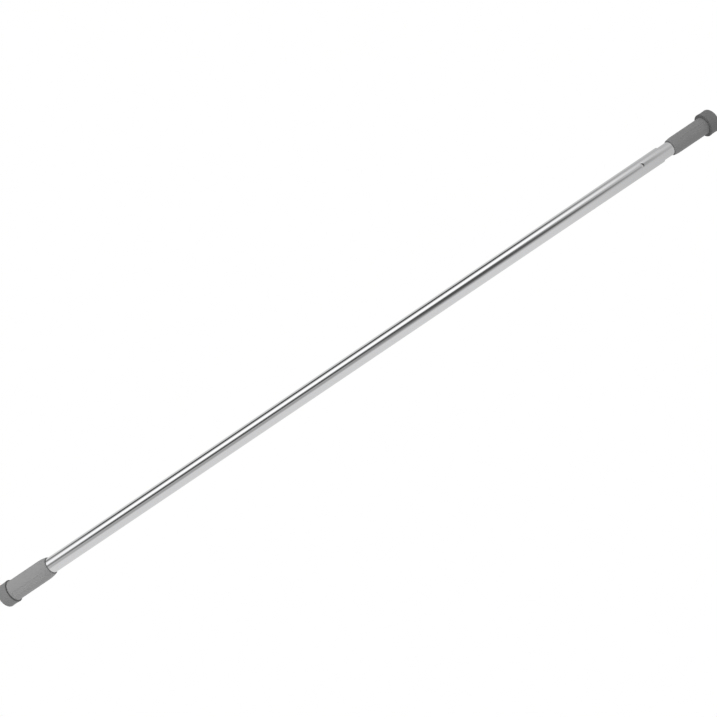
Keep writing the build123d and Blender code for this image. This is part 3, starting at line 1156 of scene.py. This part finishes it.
@dataclass(frozen=True)
class Card:
    """A long soft light or a black card hung round the bar.

    Attributes:
        angle: Degrees of its middle from straight up towards +Y.
        half_width: Degrees to either side.
        edge: Degrees over which it fades to either side of its border.
        light: Its brightness.
        ends: How far it reaches along the bar each way, as slopes of the sight line.
        end_fade: Slope over which its ends fade.
    """

    angle: float
    half_width: float
    edge: float
    light: float
    ends: tuple[float, float] = (-0.48, 0.36)
    end_fade: float = 0.12

    def hang(
        self,
        sheet: NodeSheet,
        angle: bpy.types.NodeSocket,
        slope: bpy.types.NodeSocket,
        behind: bpy.types.NodeSocket | float,
    ) -> bpy.types.NodeSocket:
        """Hangs the card in front of what is there already.

        Args:
            sheet: The world's sheet.
            angle: Degrees of the sight line from straight up towards +Y.
            slope: The sight line's part along X.
            behind: The brightness so far.

        Returns:
            The brightness with the card.
        """
        aside = sheet.math("ABSOLUTE", sheet.math("SUBTRACT", angle, self.angle))
        across = self.fade(sheet, aside, self.half_width, self.edge)
        middle = sum(self.ends) / 2.0
        along = sheet.math("ABSOLUTE", sheet.math("SUBTRACT", slope, middle))
        lengthways = self.fade(sheet, along, self.ends[1] - middle, self.end_fade)
        cover = sheet.math("MULTIPLY", across, lengthways)
        lifted = sheet.math("SUBTRACT", self.light, behind)
        return sheet.math("MULTIPLY_ADD", cover, lifted, behind)

    def fade(
        self, sheet: NodeSheet, gap: bpy.types.NodeSocket, reach: float, edge: float
    ) -> bpy.types.NodeSocket:
        """A smooth fall from 1 to 0 where a gap passes a reach.

        Args:
            sheet: The world's sheet.
            gap: The gap.
            reach: Where the fall is half done.
            edge: Half the width of the fall.

        Returns:
            The share's socket.
        """
        fall = sheet.add("ShaderNodeMapRange", interpolation_type="SMOOTHSTEP")
        sheet.link(gap, fall.inputs["Value"])
        for name, value in (
            ("From Min", reach - edge),
            ("From Max", reach + edge),
            ("To Min", 1.0),
            ("To Max", 0.0),
        ):
            fall.inputs[name].default_value = value
        return fall.outputs["Result"]


@dataclass(frozen=True)
class Lamp:
    """A soft square lamp that lights matt surfaces and is not mirrored in bright ones.

    Attributes:
        name: Its name.
        place: Where it stands.
        size: Its side.
        watts: Its power.
        aim: The point it faces.
    """

    name: str
    place: tuple[float, float, float]
    size: float
    watts: float
    aim: tuple[float, float, float]

    def make(self) -> None:
        """Sets the lamp up."""
        glow = bpy.data.lights.new(self.name, "AREA")
        glow.size = self.size
        glow.energy = self.watts
        lamp = bpy.data.objects.new(self.name, glow)
        lamp.location = self.place
        away = Vector(self.aim) - Vector(self.place)
        lamp.rotation_euler = away.to_track_quat("-Z", "Y").to_euler()
        lamp.visible_glossy = False
        lamp.visible_camera = False
        bpy.context.scene.collection.objects.link(lamp)


@dataclass
class Studio:
    """Soft wrap-round light, a plain pale floor and the camera over the middle of the bar.

    Attributes:
        tent: Brightness of the tent round the bar.
        cards: The cards hung in it, each in front of those before.
        lamps: The soft lamps.
        floor_half: Half the floor's side.
        floor_drop: Gap between the bar and the floor.
        camera_distance: Height of the camera over the bar's axis.
        camera_lens: Its focal length in millimetres.
        camera_roll: Degrees that it is rolled by.
        camera_aside: How far it stands from the bar's middle, along and across.
    """

    tent: float = 0.76
    cards: tuple[Card, ...] = (
        Card(0.0, 400.0, 1.0, 0.57, (0.375, 2.0), 0.12),
        Card(0.0, 400.0, 1.0, 0.12, (-2.0, -0.62), 0.08),
        Card(-10.0, 16.0, 12.0, 0.40),
        Card(3.0, 12.0, 9.0, 0.10, (0.04, 0.40), 0.10),
        Card(19.0, 12.0, 6.0, 0.08),
        Card(53.0, 15.5, 8.0, 1.30),
        Card(96.0, 15.0, 10.0, 0.03),
    )
    lamps: tuple[Lamp, ...] = (
        Lamp("key", (-0.25, 0.55, 0.55), 0.5, 3.8, (0.1, 0.0, 0.0)),
        Lamp("side", (-0.25, -0.6, 0.25), 0.4, 1.8, (0.05, 0.0, 0.0)),
        Lamp("fill", (1.0, 0.6, 0.6), 0.5, 0.8, (1.05, 0.0, 0.0)),
    )
    floor_half: float = 6.0
    floor_drop: float = 0.4 * MM
    camera_distance: float = 0.975
    camera_lens: float = 37.07
    camera_roll: float = -34.0
    camera_aside: tuple[float, float] = (-0.2 * MM, -0.4 * MM)

    def make(self) -> None:
        """Builds the light, the floor and the camera."""
        self.light_world()
        for lamp in self.lamps:
            lamp.make()
        self.lay_floor()
        self.place_camera()
        LOG.info("studio: light, floor and camera are in place")

    def light_world(self) -> None:
        """Draws a pale tent round the bar, with its cards."""
        world = bpy.data.worlds.new("soft_studio")
        bpy.context.scene.world = world
        world.use_nodes = True
        sheet = NodeSheet(world.node_tree)
        where = sheet.add("ShaderNodeTexCoord")
        way = sheet.add("ShaderNodeSeparateXYZ")
        sheet.link(where.outputs["Generated"], way.inputs[0])
        slope, y, z = way.outputs
        angle = sheet.math("DEGREES", sheet.math("ARCTAN2", y, z))
        light = self.tent
        for card in self.cards:
            light = card.hang(sheet, angle, slope, light)
        studio = sheet.add("ShaderNodeBackground", Color=grey(1.0))
        sheet.link(light, studio.inputs["Strength"])
        backdrop = sheet.add("ShaderNodeBackground", Color=grey(1.0), Strength=1.0)
        sight = sheet.add("ShaderNodeLightPath")
        choice = sheet.add("ShaderNodeMixShader")
        sheet.link(sight.outputs["Is Camera Ray"], choice.inputs[0])
        sheet.link(studio.outputs[0], choice.inputs[1])
        sheet.link(backdrop.outputs[0], choice.inputs[2])
        end = sheet.add("ShaderNodeOutputWorld")
        sheet.link(choice.outputs[0], end.inputs["Surface"])

    def lay_floor(self) -> None:
        """Lays a plain pale floor under the feet, lit from within like a light table."""
        bm = bmesh.new()
        bmesh.ops.create_grid(bm, x_segments=1, y_segments=1, size=self.floor_half)
        middle = CAD_BOX[1].x / 2.0
        drop = CAD_BOX[0].z - self.floor_drop
        bmesh.ops.translate(bm, verts=bm.verts, vec=(middle, 0.0, drop))
        floor = fresh_object("light_table_floor", bm)
        pale = bpy.data.materials.new("light_table")
        pale.use_nodes = True
        sheet = NodeSheet(pale.node_tree)
        glow = sheet.add("ShaderNodeEmission", Color=grey(1.0), Strength=1.0)
        end = sheet.add("ShaderNodeOutputMaterial")
        sheet.link(glow.outputs[0], end.inputs["Surface"])
        floor.data.materials.append(pale)
        floor.visible_glossy = False
        floor.visible_diffuse = False
        floor.visible_shadow = False

    def place_camera(self) -> None:
        """Sets the camera square over the bar's middle, rolled so that the bar runs uphill."""
        eye = bpy.data.cameras.new("studio_camera")
        eye.sensor_width = 36.0
        eye.lens = self.camera_lens
        eye.clip_start = 0.01
        camera = bpy.data.objects.new("studio_camera", eye)
        middle = CAD_BOX[1].x / 2.0
        camera.location = (middle + self.camera_aside[0], self.camera_aside[1], self.camera_distance)
        camera.rotation_euler = (0.0, 0.0, math.radians(self.camera_roll))
        bpy.context.scene.collection.objects.link(camera)
        bpy.context.scene.camera = camera
        bpy.context.scene.view_settings.view_transform = "Standard"


# ---------------------------------------------------------------- the whole bar


def bar_pieces() -> list[Piece]:
    """The pieces made here, in the order they are built."""
    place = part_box("guide_bush")[0].x + CRIMP_INSET
    crimps = tuple(
        Crimp(place, turn, depth=0.6 * MM, half_length=2.2 * MM, half_width=3.8 * MM)
        for turn in CRIMP_TURNS
    )
    return [
        Tube("outer_tube", Body.OUTER, Slot.CHROME, crimps=crimps),
        Tube("inner_tube", Body.INNER, Slot.CHROME),
        Sleeve("fixed_sleeve", Body.OUTER, Slot.SLEEVE, tube="outer_tube", panel_turn=-16.0),
        Sleeve(
            "sliding_sleeve",
            Body.INNER,
            Slot.SLEEVE,
            end=End.SLIDING,
            tube="inner_tube",
            taper=9.0 * MM,
            panel_length=37.5 * MM,
            panel_width=5.0 * MM,
            panel_turn=7.0,
            # Lighter painted shade on this panel's floor than on the fixed sleeve's.
            panel_painted_shade=0.6,
        ),
        Foot("fixed_foot", Body.OUTER, Slot.FOOT, tube="outer_tube"),
        Foot("sliding_foot", Body.INNER, Slot.FOOT, end=End.SLIDING, tube="inner_tube"),
        CoilSpring("compression_spring", Body.STUD, Slot.SPRING_STEEL),
    ]


def main() -> None:
    """Builds the bar piece by piece, then the studio round it."""
    logging.basicConfig(level=logging.INFO, format="%(name)s: %(message)s")
    pieces = bar_pieces()
    for piece in pieces:
        piece.make()
    CarriedNodes({piece.node for piece in pieces}).make()
    Studio().make()


if __name__ == "__main__":
    main()
